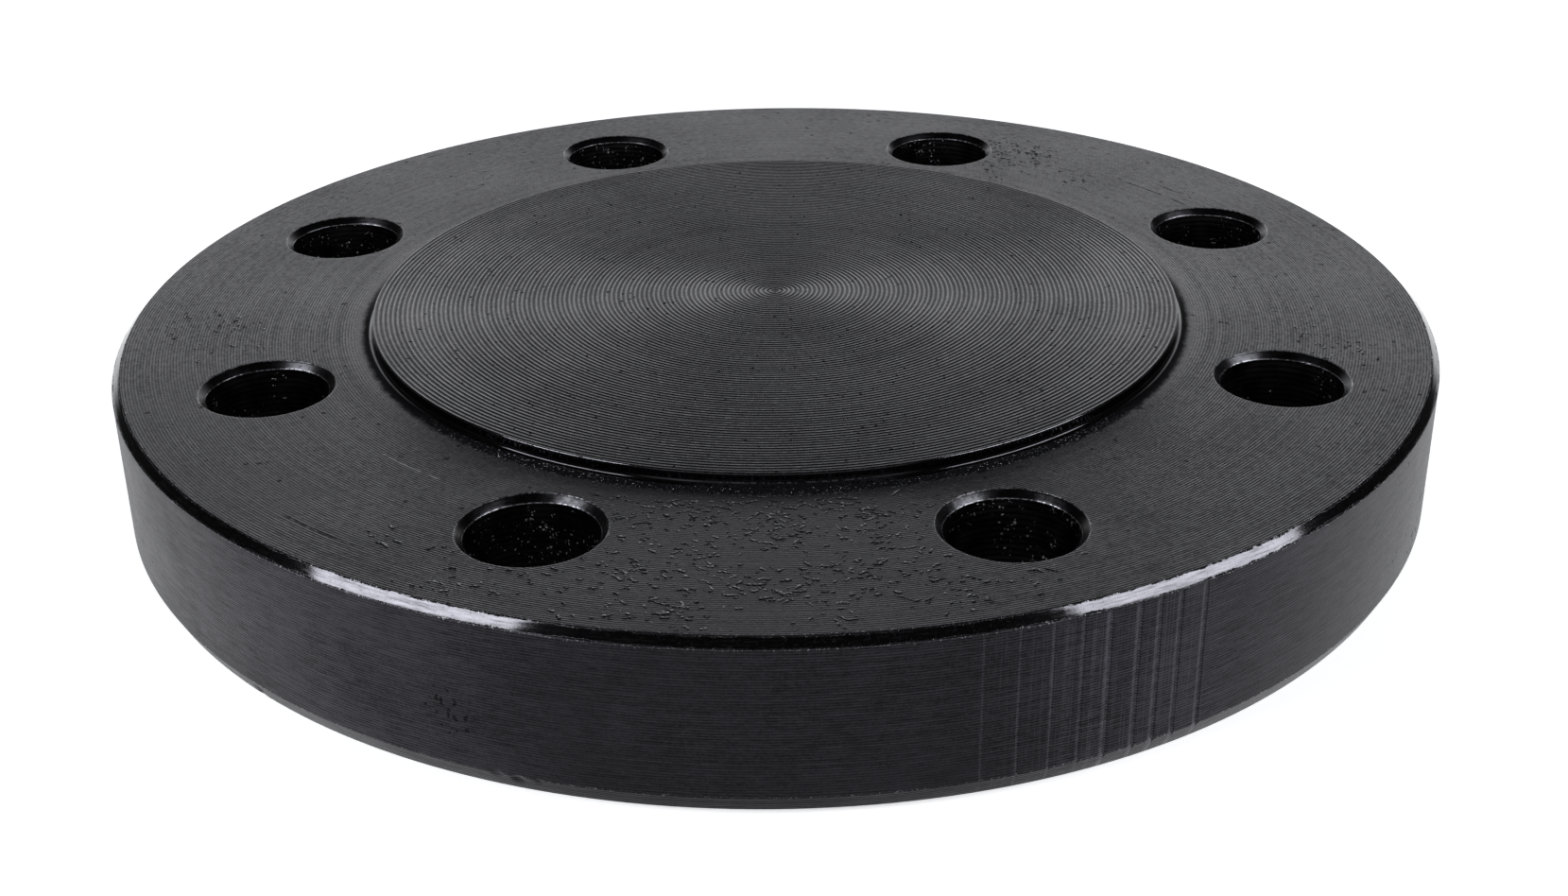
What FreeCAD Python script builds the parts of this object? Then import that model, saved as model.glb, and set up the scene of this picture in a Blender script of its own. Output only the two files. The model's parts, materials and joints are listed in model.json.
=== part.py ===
import FreeCAD, Part
import math
import os
import Sketcher

# Raised-face blind flange
#
# A round steel plate that closes the end of a pipe line, turned from one forging: a thick disc
# with a bevel round each end of its rim, a low raised sealing face on its front, and a ring of
# bolt holes between the two. The origin is the centre of the flat back and +Z comes out of the
# raised face. The bolt holes straddle the X and Y axes, as on any pipe flange. Millimetres.

NODE = "blind_flange"

# Driving dimensions: alias, value in millimetres or a plain count, meaning
SIZES = [
    ("flange_diameter", 254.0, "outside diameter of the disc"),
    ("flange_thickness", 31.0, "back to the ring face that carries the bolt holes"),
    ("front_bevel_width", 1.6, "bevel at the ring face, across"),
    ("front_bevel_depth", 1.6, "bevel at the ring face, down the rim"),
    ("back_bevel_width", 1.6, "bevel at the back, across"),
    ("back_bevel_depth", 3.2, "bevel at the back, up the rim"),
    ("raised_face_diameter", 157.2, "sealing face, which takes the gasket"),
    ("raised_face_height", 2.3, "sealing face above the ring face"),
    ("raised_face_edge", 0.3, "edge break round the sealing face"),
    ("raised_face_root", 0.8, "tool radius at the foot of the raised face's wall"),
    ("bolt_circle_diameter", 200.2, "circle through the bolt holes' centres"),
    ("bolt_hole_diameter", 22.2, "clearance hole for the stud"),
    ("bolt_hole_count", 8, "holes on the circle"),
    ("bolt_hole_mouth_width", 1.3, "countersink round each hole at the ring face, across"),
    ("bolt_hole_mouth_angle", 90.0, "full angle of the countersink, degrees"),
    ("bolt_hole_back_edge", 0.5, "edge break of each hole at the back"),
]
size = {alias: value for alias, value, _ in SIZES}

# The sketch's own origin, as its constraints name it
ORIGIN = (-1, 1)
# Two lengths this near are the same, in millimetres
CLOSE = 1e-6
# How far a cut's volume may lie from what its sizes give, as a share
CUT_TOLERANCE = 0.001

doc = FreeCAD.newDocument(NODE)


def make_sheet():
    """The spreadsheet of driving dimensions, one row each: meaning, value, alias."""
    sheet = doc.addObject("Spreadsheet::Sheet", "sizes")
    for row, (alias, value, meaning) in enumerate(SIZES, start=1):
        sheet.set(f"A{row}", meaning)
        sheet.set(f"B{row}", str(value))
        sheet.setAlias(f"B{row}", alias)
    return sheet


def origin_part(body, role):
    """The body's own origin plane or axis that plays this role."""
    return next(part for part in body.Origin.OriginFeatures if part.Role == role)


def drive(sketch, name, kind, where, value, formula):
    """A named dimension of a sketch, bound to the sheet. The value only starts the solver off."""
    number = sketch.addConstraint(Sketcher.Constraint(kind, *where, value))
    sketch.renameConstraint(number, name)
    sketch.setExpression(f"Constraints.{name}", formula)


def add_section(body):
    """Half the flange's section in the XZ plane, closed along the axis of the disc."""
    sketch = body.newObject("Sketcher::SketchObject", "section")
    sketch.AttachmentSupport = (origin_part(body, "XZ_Plane"), [""])
    sketch.MapMode = "FlatFace"

    rim = size["flange_diameter"] / 2
    ring = size["flange_thickness"]
    seal = size["raised_face_diameter"] / 2
    top = ring + size["raised_face_height"]
    root = size["raised_face_root"]
    edge = size["raised_face_edge"]
    back_x = rim - size["back_bevel_width"]
    back_y = size["back_bevel_depth"]
    front_x = rim - size["front_bevel_width"]
    front_y = ring - size["front_bevel_depth"]

    def line(start, end):
        a = FreeCAD.Vector(start[0], start[1], 0)
        b = FreeCAD.Vector(end[0], end[1], 0)
        return sketch.addGeometry(Part.LineSegment(a, b), False)

    back = line((0, 0), (back_x, 0))
    back_bevel = line((back_x, 0), (rim, back_y))
    rim_wall = line((rim, back_y), (rim, front_y))
    front_bevel = line((rim, front_y), (front_x, ring))
    ring_face = line((front_x, ring), (seal + root, ring))
    root_centre = FreeCAD.Vector(seal + root, ring + root, 0)
    root_circle = Part.Circle(root_centre, FreeCAD.Vector(0, 0, 1), root)
    root_arc = sketch.addGeometry(Part.ArcOfCircle(root_circle, math.pi, 1.5 * math.pi), False)
    seal_wall = line((seal, ring + root), (seal, top - edge))
    seal_edge = line((seal, top - edge), (seal - edge, top))
    seal_face = line((seal - edge, top), (0, top))
    axis = line((0, top), (0, 0))

    # The outline runs once round: each piece's end is the next one's start. The arc is drawn
    # anticlockwise, from the wall to the ring face, so it is met the other way round.
    for first, second in [(back, back_bevel), (back_bevel, rim_wall), (rim_wall, front_bevel),
                          (front_bevel, ring_face), (seal_wall, seal_edge),
                          (seal_edge, seal_face), (seal_face, axis), (axis, back)]:
        sketch.addConstraint(Sketcher.Constraint("Coincident", first, 2, second, 1))
    sketch.addConstraint(Sketcher.Constraint("Tangent", ring_face, 2, root_arc, 2))
    sketch.addConstraint(Sketcher.Constraint("Tangent", root_arc, 1, seal_wall, 1))
    sketch.addConstraint(Sketcher.Constraint("Coincident", back, 1, -1, 1))
    for level in (back, ring_face, seal_face):
        sketch.addConstraint(Sketcher.Constraint("Horizontal", level))
    for upright in (rim_wall, seal_wall, axis):
        sketch.addConstraint(Sketcher.Constraint("Vertical", upright))

    drive(sketch, "rim_radius", "DistanceX", (*ORIGIN, rim_wall, 1), rim,
          "sizes.flange_diameter / 2")
    drive(sketch, "ring_level", "DistanceY", (*ORIGIN, ring_face, 2), ring,
          "sizes.flange_thickness")
    drive(sketch, "back_bevel_across", "DistanceX", (back_bevel, 1, back_bevel, 2), rim - back_x,
          "sizes.back_bevel_width")
    drive(sketch, "back_bevel_up", "DistanceY", (back_bevel, 1, back_bevel, 2), back_y,
          "sizes.back_bevel_depth")
    drive(sketch, "front_bevel_across", "DistanceX", (front_bevel, 2, front_bevel, 1),
          rim - front_x, "sizes.front_bevel_width")
    drive(sketch, "front_bevel_down", "DistanceY", (front_bevel, 1, front_bevel, 2),
          ring - front_y, "sizes.front_bevel_depth")
    drive(sketch, "seal_radius", "DistanceX", (*ORIGIN, seal_wall, 1), seal,
          "sizes.raised_face_diameter / 2")
    drive(sketch, "seal_height", "DistanceY", (ring_face, 2, seal_face, 1), top - ring,
          "sizes.raised_face_height")
    drive(sketch, "root_radius", "Radius", (root_arc,), root, "sizes.raised_face_root")
    drive(sketch, "edge_across", "DistanceX", (seal_edge, 2, seal_edge, 1), edge,
          "sizes.raised_face_edge")
    drive(sketch, "edge_down", "DistanceY", (seal_edge, 1, seal_edge, 2), edge,
          "sizes.raised_face_edge")
    return sketch


def turn_disc(body, section):
    """The whole disc with its raised face, turned about the Z axis."""
    disc = body.newObject("PartDesign::Revolution", "disc")
    disc.Profile = section
    disc.ReferenceAxis = (section, ["V_Axis"])
    disc.Angle = 360.0
    return disc


def drill_bolt_holes(body):
    """One countersunk through hole from the ring face, then the ring of them about the Z axis."""
    centre = body.newObject("Sketcher::SketchObject", "bolt_hole_centre")
    centre.AttachmentSupport = (origin_part(body, "XY_Plane"), [""])
    centre.MapMode = "FlatFace"
    centre.setExpression("AttachmentOffset.Base.z", "sizes.flange_thickness")
    # Half a pitch round from the X axis, so that the holes straddle both axes
    reach = size["bolt_circle_diameter"] / 2
    turn = math.pi / size["bolt_hole_count"]
    x, y = reach * math.cos(turn), reach * math.sin(turn)
    bore = size["bolt_hole_diameter"]
    outline = Part.Circle(FreeCAD.Vector(x, y, 0), FreeCAD.Vector(0, 0, 1), bore / 2)
    circle = centre.addGeometry(outline, False)
    drive(centre, "centre_x", "DistanceX", (*ORIGIN, circle, 3), x,
          "sizes.bolt_circle_diameter / 2 * cos(180deg / sizes.bolt_hole_count)")
    drive(centre, "centre_y", "DistanceY", (*ORIGIN, circle, 3), y,
          "sizes.bolt_circle_diameter / 2 * sin(180deg / sizes.bolt_hole_count)")
    drive(centre, "bore", "Diameter", (circle,), bore, "sizes.bolt_hole_diameter")
    doc.recompute()

    hole = body.newObject("PartDesign::Hole", "bolt_hole")
    hole.Profile = centre
    doc.recompute()
    hole.ThreadType = "None"
    hole.DepthType = "ThroughAll"
    hole.HoleCutType = "Countersink"
    hole.HoleCutCustomValues = True
    hole.setExpression("Diameter", "sizes.bolt_hole_diameter")
    hole.setExpression("HoleCutDiameter",
                       "sizes.bolt_hole_diameter + 2 * sizes.bolt_hole_mouth_width")
    hole.setExpression("HoleCutCountersinkAngle", "sizes.bolt_hole_mouth_angle")
    doc.recompute()

    ring = body.newObject("PartDesign::PolarPattern", "bolt_hole_ring")
    ring.Originals = [hole]
    ring.Axis = (origin_part(body, "Z_Axis"), [""])
    ring.Angle = 360.0
    ring.setExpression("Occurrences", "sizes.bolt_hole_count")
    body.Tip = ring
    doc.recompute()
    return ring


def hole_edges_at_back(ring):
    """Names of the bolt holes' edges that lie on the back, found by their place and radius."""
    radius = size["bolt_hole_diameter"] / 2
    names = []
    for number, edge in enumerate(ring.Shape.Edges, start=1):
        if not isinstance(edge.Curve, Part.Circle):
            continue
        at_back = abs(edge.Curve.Center.z) < CLOSE
        if at_back and abs(edge.Curve.Radius - radius) < CLOSE:
            names.append(f"Edge{number}")
    return names


def bevel_hole_backs(body, ring):
    """A small bevel where each bolt hole comes out at the back."""
    bevel = body.newObject("PartDesign::Chamfer", "bolt_hole_back_bevel")
    bevel.Base = (ring, hole_edges_at_back(ring))
    bevel.setExpression("Size", "sizes.bolt_hole_back_edge")
    body.Tip = bevel
    doc.recompute()
    return bevel


def countersink_volume(wide, narrow, depth):
    """What a cone from one radius to another cuts outside the bore that has the smaller one."""
    return math.pi * depth * ((wide**2 + wide * narrow + narrow**2) / 3 - narrow**2)


def check(disc, ring, bevel):
    """Stop if an object failed, a shape isn't one solid, or a cut isn't the volume it should be."""
    for item in doc.Objects:
        if "Invalid" in item.State or "Error" in item.State:
            raise RuntimeError(f"{item.Name} failed: {item.State}")
    for feature in (disc, ring, bevel):
        shape = feature.Shape
        if shape.isNull() or not shape.isValid() or len(shape.Solids) != 1:
            raise RuntimeError(f"{feature.Name} is not one valid solid")

    count = size["bolt_hole_count"]
    bore = size["bolt_hole_diameter"] / 2
    mouth = bore + size["bolt_hole_mouth_width"]
    edge = size["bolt_hole_back_edge"]
    mouth_depth = (mouth - bore) / math.tan(math.radians(size["bolt_hole_mouth_angle"] / 2))
    cylinder = math.pi * bore**2 * size["flange_thickness"]
    hole_due = count * (cylinder + countersink_volume(mouth, bore, mouth_depth))
    bevel_due = count * countersink_volume(bore + edge, bore, edge)
    for name, cut, due in [("bolt holes", disc.Shape.Volume - ring.Shape.Volume, hole_due),
                           ("back bevels", ring.Shape.Volume - bevel.Shape.Volume, bevel_due)]:
        print(f"{name}: {cut:.1f} cubic mm cut, {due:.1f} by the sizes")
        if abs(cut - due) > CUT_TOLERANCE * due:
            raise RuntimeError(f"{name} cut {cut:.1f} cubic mm where {due:.1f} is due")


make_sheet()
doc.recompute()
flange = doc.addObject("PartDesign::Body", NODE)
flange.Label = NODE
flange.Placement = FreeCAD.Placement()
disc = turn_disc(flange, add_section(flange))
doc.recompute()
ring = drill_bolt_holes(flange)
bevel = bevel_hole_backs(flange, ring)
check(disc, ring, bevel)

os.makedirs("parts", exist_ok=True)
flange.Shape.exportStep(f"parts/{flange.Label}.step")
box = flange.Shape.BoundBox
print(f"{flange.Label}: {box.XLength:.2f} x {box.YLength:.2f} x {box.ZLength:.2f} mm,"
      f" {flange.Shape.Volume / 1e6:.4f} litres, {len(flange.Shape.Faces)} faces")
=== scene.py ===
"""Raised-face blind flange of blackened steel: one turned disc with a serrated sealing face and eight
countersunk bolt holes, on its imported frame."""

import functools
import json
import math

import bpy
import numpy as np
from bpy.props import FloatProperty, FloatVectorProperty, IntProperty, PointerProperty
from mathutils import Matrix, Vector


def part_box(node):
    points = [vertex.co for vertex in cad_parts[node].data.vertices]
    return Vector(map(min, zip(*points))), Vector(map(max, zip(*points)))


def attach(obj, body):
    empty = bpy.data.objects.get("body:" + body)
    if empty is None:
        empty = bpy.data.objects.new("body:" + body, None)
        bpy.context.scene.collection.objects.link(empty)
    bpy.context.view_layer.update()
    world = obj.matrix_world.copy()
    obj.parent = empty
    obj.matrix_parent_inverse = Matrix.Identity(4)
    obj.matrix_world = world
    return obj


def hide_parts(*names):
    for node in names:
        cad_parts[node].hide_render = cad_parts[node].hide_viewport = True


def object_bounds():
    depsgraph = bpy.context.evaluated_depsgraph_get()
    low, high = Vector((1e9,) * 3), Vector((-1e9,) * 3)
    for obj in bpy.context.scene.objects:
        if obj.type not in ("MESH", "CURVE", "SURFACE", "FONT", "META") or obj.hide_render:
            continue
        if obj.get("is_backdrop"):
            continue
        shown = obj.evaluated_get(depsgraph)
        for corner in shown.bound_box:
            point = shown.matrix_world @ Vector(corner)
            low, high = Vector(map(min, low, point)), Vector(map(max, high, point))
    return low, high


bl_info = {
    "name": "Blind flange",
    "version": (1, 0, 0),
    "blender": (4, 5, 0),
    "location": "3D View > Sidebar > Flange",
    "description": "Builds a raised-face blind flange of blackened steel and the studio it stands in",
    "category": "Object",
}

MM = 0.001
TURN = 2 * math.pi

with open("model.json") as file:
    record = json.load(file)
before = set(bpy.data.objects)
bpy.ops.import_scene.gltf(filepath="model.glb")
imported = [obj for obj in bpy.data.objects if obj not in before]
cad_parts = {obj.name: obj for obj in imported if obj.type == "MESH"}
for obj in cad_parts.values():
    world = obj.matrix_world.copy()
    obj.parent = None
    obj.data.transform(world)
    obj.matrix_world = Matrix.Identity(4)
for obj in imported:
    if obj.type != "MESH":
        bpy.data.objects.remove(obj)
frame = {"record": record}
CAD_BOX = [list(corner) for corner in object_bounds()]
low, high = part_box("blind_flange")
BACK, TOP, RIM = low.z, high.z, high.x
BOLTS = next(m["dims"] for m in frame["record"]["mounts"] if m["kind"] == "bolt_pattern")
HOLE_RADIUS = BOLTS["hole_r_mm"] * MM
CIRCLE_RADIUS = BOLTS["pcd_mm"] / 2 * MM
# One bolt hole's share of the turn. The first hole lies half a share from +X
PART = TURN / BOLTS["count"]
SLOT = frame["record"]["materials"][0]["slot"]

# The materials of the disc, in the order of its material slots
SERRATED, FACE, EDGE, MOUTH, RIM_WALL, BORE, REAR = range(7)
# Half the share of a gasket groove's pitch that is groove, the rest being its flat crest
GROOVE_HALF = 0.44
# Points nearer than this become one
WELD = 1e-7


# Settings


def length(name, description, default):
    return FloatProperty(name=name, description=description, default=default, unit="LENGTH",
                         subtype="DISTANCE", precision=5)


def share(name, description, default):
    return FloatProperty(name=name, description=description, default=default, min=0.0, max=1.0,
                         subtype="FACTOR")


def strength(name, description):
    return FloatProperty(name=name, description=description, default=1.0, min=0.0, max=3.0)


def tint(name, description, default):
    return FloatVectorProperty(name=name, description=description, default=default, size=3, min=0.0,
                               max=1.0, subtype="COLOR")


def angle(name, description, degrees):
    return FloatProperty(name=name, description=description, default=math.radians(degrees),
                         unit="ROTATION", subtype="ANGLE")


def power(name, description, default):
    return FloatProperty(name=name, description=description, default=default, min=0.0, unit="POWER")


class FlangeSizes(bpy.types.PropertyGroup):
    plate: length("Plate thickness", "From the back to the ring face", 31.0 * MM)
    seal_diameter: length("Raised face diameter", "Across the raised sealing face", 157.2 * MM)
    seal_edge: length("Raised face edge", "Edge break round the raised face", 0.3 * MM)
    seal_root: length("Raised face root", "Radius of the tool at the foot of the raised face", 0.8 * MM)
    grooves: IntProperty(name="Grooves", description="Gasket grooves from the centre out", default=85,
                         min=21, max=90)
    groove_depth: length("Groove depth", "From the crests to the bottom of a gasket groove", 0.109 * MM)
    front_bevel: length("Front bevel", "Across and down, at the front of the rim", 1.6 * MM)
    back_bevel: length("Back bevel across", "Across the back, at the back of the rim", 1.6 * MM)
    back_bevel_height: length("Back bevel height", "Up the rim, at the back of the rim", 3.2 * MM)
    mouth: length("Countersink", "Across and down, at the mouth of each bolt hole", 1.3 * MM)
    hole_back: length("Hole back edge", "Edge break of each bolt hole at the back", 0.5 * MM)
    corner: length("Corner radius", "Softness of the turned corners", 0.18 * MM)


class FlangeWear(bpy.types.PropertyGroup):
    jaw_depth: strength("Jaw marks", "Depth of the chuck's upright marks, as a share of the measured ones")
    dents: strength("Dents", "Depth of the knocks on the rim's corners, as a share of the measured ones")
    flecks: IntProperty(name="Torn flecks", description="Flecks torn up by the tool on the ring face",
                        default=1150, min=1, max=1200)
    fleck_height: length("Fleck height", "Height of a middling torn fleck", 0.19 * MM)
    unevenness: length("Corner unevenness", "How far the bevels wander from true", 0.012 * MM)


class FlangeFinish(bpy.types.PropertyGroup):
    oxide: tint("Oxide", "Colour of the black oxide", (0.0513, 0.0500, 0.0544))
    rim_oxide: tint("Rim oxide", "Colour of the rim's oxide, a little more violet", (0.050, 0.0485, 0.056))
    # Bare steel, and also the colour of painted highlights: fleck crests, root band grains, crests in front,
    # rubbed corners
    bare_and_highlight: tint("Bare steel", "Colour of steel that shows on crests and knocks", (0.30, 0.30, 0.32))
    # Pits, and also the colour of painted shade: the root band, groove bottoms and the foot of each fleck
    grime_and_shade: tint("Grime", "Colour of the pits and of oil left in the roots", (0.004, 0.004, 0.0045))
    face_roughness: share("Face roughness", "Roughness of the turned ring face", 0.33)
    seal_roughness: share("Raised face roughness", "Roughness of the grooves", 0.15)
    rim_roughness: share("Rim roughness", "Roughness of the rim", 0.42)
    edge_roughness: share("Edge roughness", "Roughness of the burnished bevels", 0.08)


class FlangeStudio(bpy.types.PropertyGroup):
    eye: FloatVectorProperty(name="Camera position", description="Where the camera stands", size=3,
                             default=(0.004561, -0.389278, 0.194060), unit="LENGTH", subtype="TRANSLATION")
    yaw: angle("Yaw", "Turn of the view from +Y towards +X", -0.4706)
    pitch: angle("Pitch", "Tilt of the view below the horizon", 26.6732)
    roll: angle("Roll", "Turn of the camera about its own view", 0.7760)
    lens: FloatProperty(name="Lens", description="Focal length on a 36 mm sensor", default=48.772,
                        min=10.0, max=200.0, unit="CAMERA")
    left_light: power("Left softbox", "Power of the softbox on the left", 4.7)
    right_light: power("Right softbox", "Power of the softbox on the right", 4.8)
    floor: tint("Floor", "Colour of the floor", (0.86, 0.86, 0.87))


# Surfaces


def rounded(corners, radius):
    """A profile through corners, each inner one softened in two steps: the curve leaves the side before a
    corner at radius * tan(half the turn), and is the parabola that has that corner as its control point."""
    corners = np.asarray(corners, float)
    before, at, after = corners[:-2], corners[1:-1], corners[2:]
    into = (at - before) / np.linalg.norm(at - before, axis=1)[:, None]
    away = (after - at) / np.linalg.norm(after - at, axis=1)[:, None]
    turn = np.arccos(np.clip((into * away).sum(1), -1, 1))
    reach = (radius * np.tan(turn / 2))[:, None]
    start, middle, end = (p[:, None] for p in (at - into * reach, at, at + away * reach))
    s = np.array([0, 0.5, 1])[None, :, None]
    curve = (1 - s) ** 2 * start + 2 * s * (1 - s) * middle + s**2 * end
    return np.concatenate([corners[:1], curve.reshape(-1, 2), corners[-1:]])


def revolve(profile, turns):
    """The profile's (radius, height) pairs carried round the axis: x = radius cos(turn),
    y = radius sin(turn), z = height."""
    r, z = np.asarray(profile, float).T[..., None]
    return np.stack(np.broadcast_arrays(r * np.cos(turns), r * np.sin(turns), z), -1)


def evenly(count):
    """That many even turns round the axis."""
    return np.arange(count) * TURN / count


def apart(turns, others):
    """Turns from the others to each, between minus half a turn and half a turn."""
    return (turns[:, None] - others + math.pi) % TURN - math.pi


def about_axis(points, turn):
    """points turned about the disc's axis."""
    c, s = math.cos(turn), math.sin(turn)
    return points @ np.array([[c, s, 0], [-s, c, 0], [0, 0, 1]])


def polar(points):
    """Radius, turn from +X and height of each point."""
    return np.hypot(points[:, 0], points[:, 1]), np.arctan2(points[:, 1], points[:, 0]), points[:, 2]


def from_hole(radius, turns):
    """Distance from the axis of the nearest bolt hole."""
    aside = turns % PART - PART / 2
    return np.hypot(radius * np.cos(aside) - CIRCLE_RADIUS, radius * np.sin(aside))


class Skin:
    """The patches of one closed surface. Each has rows of points that run round in the same sense, and its
    rows follow one another so that row step x round step points outwards."""

    def __init__(self):
        self.points, self.faces, self.finish, self.hard = [], [], [], []
        self.size = self.rings = 0

    def put(self, points, faces, finish, hard):
        """A patch as it is. hard numbers the points: an edge between two of one number, 0 up, is crisp."""
        self.points.append(points.reshape(-1, 3))
        self.faces.append(faces + self.size)
        self.finish.append(np.full(len(faces), finish))
        self.hard.append(hard)
        self.size += len(self.points[-1])

    def grid(self, points, finish, hard=()):
        """Squares between the rows of a grid that closes on itself. hard lists the rows that keep a crisp
        corner."""
        rows, columns = points.shape[:2]
        i, j = np.meshgrid(np.arange(rows - 1), np.arange(columns), indexing="ij")
        here, right = i * columns, (j + 1) % columns
        faces = np.stack([here + j, here + columns + j, here + columns + right, here + right], -1)
        crisp = np.full((rows, columns), -1)
        for row in hard:
            crisp[row] = self.rings = self.rings + 1
        self.put(points, faces.reshape(-1, 4), finish, crisp.ravel())

    def zip(self, first, second, finish):
        """Triangles between two closed rings whose stations differ. Each side of a ring meets the station
        of the other ring that lies across from its middle."""
        turns = [np.unwrap(polar(ring)[1]) for ring in (first, second)]
        turns = [t - TURN * np.round(t[0] / TURN) for t in turns]
        middles = [(t + np.append(t[1:], t[0] + TURN)) / 2 for t in turns]
        a, b = len(first), len(second)
        i, j = np.arange(a), np.arange(b)
        across = np.searchsorted(middles[1], middles[0], "left") % b
        back = np.searchsorted(middles[0], middles[1], "right") % a
        faces = np.concatenate([np.stack([i, a + across, (i + 1) % a], 1),
                                np.stack([back, a + j, a + (j + 1) % b], 1)])
        points = np.concatenate([first, second])
        self.put(points, np.column_stack([faces, faces[:, 2]]), finish, np.full(a + b, -1))

    def cap(self, ring, centre, finish, outwards):
        """Triangles from a ring to the point on its axis. outwards is True where the rows run out from
        that point."""
        n = len(ring)
        k = np.arange(n)
        side = (k, (k + 1) % n) if outwards else ((k + 1) % n, k)
        faces = np.stack([np.full(n, n), *side], 1)
        points = np.concatenate([ring, [centre]])
        self.put(points, np.column_stack([faces, faces[:, 2]]), finish, np.full(n + 1, -1))

    def piece(self, name, change=None):
        """One object of all the patches: points that coincide become one, change(points) moves them, and
        crisp rows get crisp edges. kept tells which points stayed."""
        points, faces = np.concatenate(self.points), np.concatenate(self.faces)
        near = np.round(points / WELD).astype(np.int64)
        _, self.kept, same = np.unique(near, axis=0, return_index=True, return_inverse=True)
        same = same.ravel()
        crisp = np.full(len(self.kept), -1)
        np.maximum.at(crisp, same, np.concatenate(self.hard))
        points, faces = points[self.kept], same[faces]
        if change:
            points = change(points)
        three = faces[:, 2] == faces[:, 3]
        order = np.concatenate([np.flatnonzero(~three), np.flatnonzero(three)])
        mesh = bpy.data.meshes.new(name)
        mesh.from_pydata(points, [], faces[~three].tolist() + faces[three][:, :3].tolist())
        finish = np.concatenate(self.finish)[order]
        mesh.polygons.foreach_set("material_index", finish.astype(np.int32))
        mesh.polygons.foreach_set("use_smooth", np.ones(len(faces), bool))
        ends = np.empty(len(mesh.edges) * 2, np.int32)
        mesh.edges.foreach_get("vertices", ends)
        ends = crisp[ends].reshape(-1, 2)
        mesh.edges.foreach_set("use_edge_sharp", (ends[:, 0] >= 0) & (ends[:, 0] == ends[:, 1]))
        mesh.update()
        piece = bpy.data.objects.new(name, mesh)
        bpy.context.scene.collection.objects.link(piece)
        return piece


def store(piece, **attributes):
    """Keeps values for each point of the piece, for its materials to read."""
    for name, values in attributes.items():
        kept = piece.data.attributes.new(name, "FLOAT", "POINT")
        kept.data.foreach_set("value", values.astype(np.float32))


# The disc


JAW_MARKS = np.array([
    # azimuth in degrees, width in mm, depth in mm
    (284.2, 0.55, 0.10), (286.8, 0.60, 0.12), (289.2, 0.70, 0.14), (290.2, 0.35, 0.05),
    (291.4, 0.80, 0.16), (292.3, 0.35, 0.05), (293.3, 1.30, 0.34), (295.7, 1.25, 0.32),
    (297.4, 1.20, 0.32), (299.2, 1.15, 0.32), (301.4, 1.15, 0.28),
])
# The share of a jaw mark's width over which the rim falls. It returns over the rest
JAW_FALL = 0.88
DENTS = np.array([
    # azimuth in degrees, height in mm, half width and half height in mm, depth in mm
    (227.4, 1.2, 0.9, 1.2, 0.30), (250.4, 3.1, 1.0, 0.5, 0.22), (252.0, 2.7, 1.1, 0.7, 0.30),
    (253.6, 3.0, 0.8, 0.4, 0.20), (44.0, 30.0, 1.0, 0.5, 0.16), (118.0, 2.8, 1.2, 0.7, 0.22),
    (12.0, 2.6, 1.2, 0.7, 0.22),
])


def rim_turns():
    """Stations round the rim: 256 even ones, eight across each jaw mark and fifteen across each dent, but
    for those that would crowd others."""
    closest, spacing = 0.06 * MM / RIM, 0.3 * MM / RIM
    even = evenly(256)
    across = np.array([-0.12, 0.0, 0.25, 0.5, 0.75, JAW_FALL, 1.0, 1.12])
    marks = np.radians(JAW_MARKS[:, :1]) + across * JAW_MARKS[:, 1:2] * MM / RIM
    dents = np.radians(DENTS[:, :1]) + np.linspace(-1.8, 1.8, 15) * DENTS[:, 2:3] * MM / RIM
    fine = np.sort(np.concatenate([marks.ravel(), dents.ravel()]) % TURN)
    fine = fine[np.append(True, np.diff(fine) > closest)]
    crowded = np.abs(apart(even, fine)).min(1) < spacing
    crowded[0] = False
    fine = fine[(fine > spacing) & (fine < TURN - spacing)]
    return np.sort(np.concatenate([even[~crowded], fine]))


def wander(turns, seed, lowest, highest):
    """A smooth closed wave between 0 and 1 round the disc: the sum of 24 cosines of seeded whole
    frequencies and phases, over four times the root of half their number, round a half."""
    count = 24
    pick = np.random.default_rng(seed)
    frequency, phase = pick.integers(lowest, highest, count), pick.uniform(0, TURN, count)
    wave = np.cos(turns[..., None] * frequency + phase).sum(-1) / math.sqrt(count / 2)
    return np.clip(0.5 + wave / 4, 0, 1)


def jaw_cut(turns, height, sizes):
    """Depth of the jaw marks at those turns and heights: in each the rim falls evenly across JAW_FALL of
    the width and returns in the rest. The marks end below the front bevel."""
    across = apart(turns, np.radians(JAW_MARKS[:, 0])) * RIM / MM / JAW_MARKS[:, 1]
    fall = np.clip(np.minimum(across / JAW_FALL, (1 - across) / (1 - JAW_FALL)), 0, 1)
    below_bevel = np.clip((sizes.plate - sizes.front_bevel - height) / (0.9 * MM), 0, 1)
    return (fall * JAW_MARKS[:, 2] * MM).max(1) * below_bevel


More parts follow.
